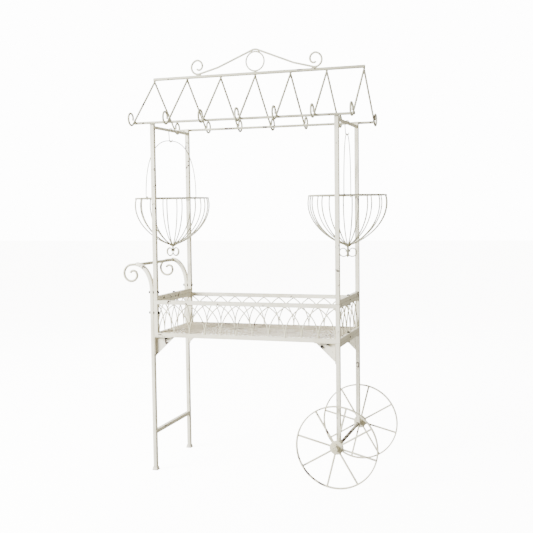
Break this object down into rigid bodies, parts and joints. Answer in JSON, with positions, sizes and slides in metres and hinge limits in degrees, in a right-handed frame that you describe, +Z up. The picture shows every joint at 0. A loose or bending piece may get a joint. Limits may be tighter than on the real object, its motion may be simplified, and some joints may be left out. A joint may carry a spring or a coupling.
{
  "type": "wheeled plant stand",
  "caption": "Wheeled metal plant stand: planter box on legs and spoked wheels, pitched roof frame with hooks, and two wire baskets hung at its ends.",
  "frame": {"origin": "on the floor under the middle of the whole stand's bounding box", "axes": "+X along the planter towards the wheels, -X towards the handle, -Y the front, +Z up"},
  "size_m": [1.3297, 0.6186, 2.1187],
  "materials": {
    "paint": "satin antique white, chipped and worn at the edges",
    "floor_mesh": "satin antique white on expanded metal",
    "foot_cap": "worn antique white",
    "dark_steel": "blackened steel bolts"
  },
  "bodies": {
    "stand": {"arch_panel_back": "paint", "arch_panel_front": "paint", "arch_panel_left": "paint", "arch_panel_right": "paint", "axle": "paint", "axle_cap_back": "paint", "axle_cap_front": "paint", "box_frame": "paint", "eave_bar_back": "paint", "eave_bar_front": "paint", "end_bolt_left": "dark_steel", "end_bolt_right": "dark_steel", "end_frame_left": "paint", "end_frame_right": "paint", "foot_cap_back": "foot_cap", "foot_cap_front": "foot_cap", "gusset_bolt_left_back": "dark_steel", "gusset_bolt_left_front": "dark_steel", "gusset_bolt_right_back": "dark_steel", "gusset_bolt_right_front": "dark_steel", "gusset_left_back": "paint", "gusset_left_front": "paint", "gusset_right_back": "paint", "gusset_right_front": "paint", "handle_grip": "paint", "handle_leg_back": "paint", "handle_leg_front": "paint", "handle_scroll_back": "paint", "handle_scroll_front": "paint", "leg_bolt_lower_back": "dark_steel", "leg_bolt_lower_front": "dark_steel", "leg_bolt_upper_back": "dark_steel", "leg_bolt_upper_front": "dark_steel", "lower_bar": "paint", "mesh_floor": "floor_mesh", "pediment": "paint", "pediment_ring": "paint", "rafter_1": "paint", "rafter_2": "paint", "rafter_3": "paint", "rafter_4": "paint", "rafter_5": "paint", "rafter_6": "paint", "rafter_7": "paint", "ridge_bar": "paint", "web_bolt_back": "dark_steel", "web_bolt_front": "dark_steel", "wheel_frame_bolt": "dark_steel", "wheel_leg_frame": "paint"},
    "wheel_front": {"wheel_front": "paint"},
    "wheel_back": {"wheel_back": "paint"},
    "hanger_left": {"hanger_left": "paint"},
    "bail_left": {"bail_left": "paint"},
    "basket_left": {"basket_left": "paint"},
    "hanger_right": {"hanger_right": "paint"},
    "bail_right": {"bail_right": "paint"},
    "basket_right": {"basket_right": "paint"}
  },
  "joints": [
    {"name": "wheel_front_spin", "type": "hinge", "parent": "stand", "child": "wheel_front", "pos_m": [0.4669, -0.262, 0.198], "axis": [0, 1, 0], "continuous": true},
    {"name": "wheel_back_spin", "type": "hinge", "parent": "stand", "child": "wheel_back", "pos_m": [0.4669, 0.262, 0.198], "axis": [0, 1, 0], "continuous": true},
    {"name": "hanger_left_swing", "type": "hinge", "parent": "stand", "child": "hanger_left", "pos_m": [-0.4691, 0, 1.73], "axis": [0, 1, 0], "range_deg": [-15, 15]},
    {"name": "bail_left_turn", "type": "hinge", "parent": "hanger_left", "child": "bail_left", "pos_m": [-0.4691, 0, 1.677], "axis": [0, 0, 1], "range_deg": [-20, 20]},
    {"name": "basket_left_tilt", "type": "hinge", "parent": "bail_left", "child": "basket_left", "pos_m": [-0.4691, 0, 1.38], "axis": [0.2924, 0.9563, 0], "range_deg": [-20, 20]},
    {"name": "hanger_right_swing", "type": "hinge", "parent": "stand", "child": "hanger_right", "pos_m": [0.4669, 0, 1.73], "axis": [0, 1, 0], "range_deg": [-15, 15]},
    {"name": "bail_right_turn", "type": "hinge", "parent": "hanger_right", "child": "bail_right", "pos_m": [0.4669, 0, 1.677], "axis": [0, 0, 1], "range_deg": [-20, 20]},
    {"name": "basket_right_tilt", "type": "hinge", "parent": "bail_right", "child": "basket_right", "pos_m": [0.4669, 0, 1.38], "axis": [-0.1392, 0.9903, 0], "range_deg": [-20, 20]}
  ]
}
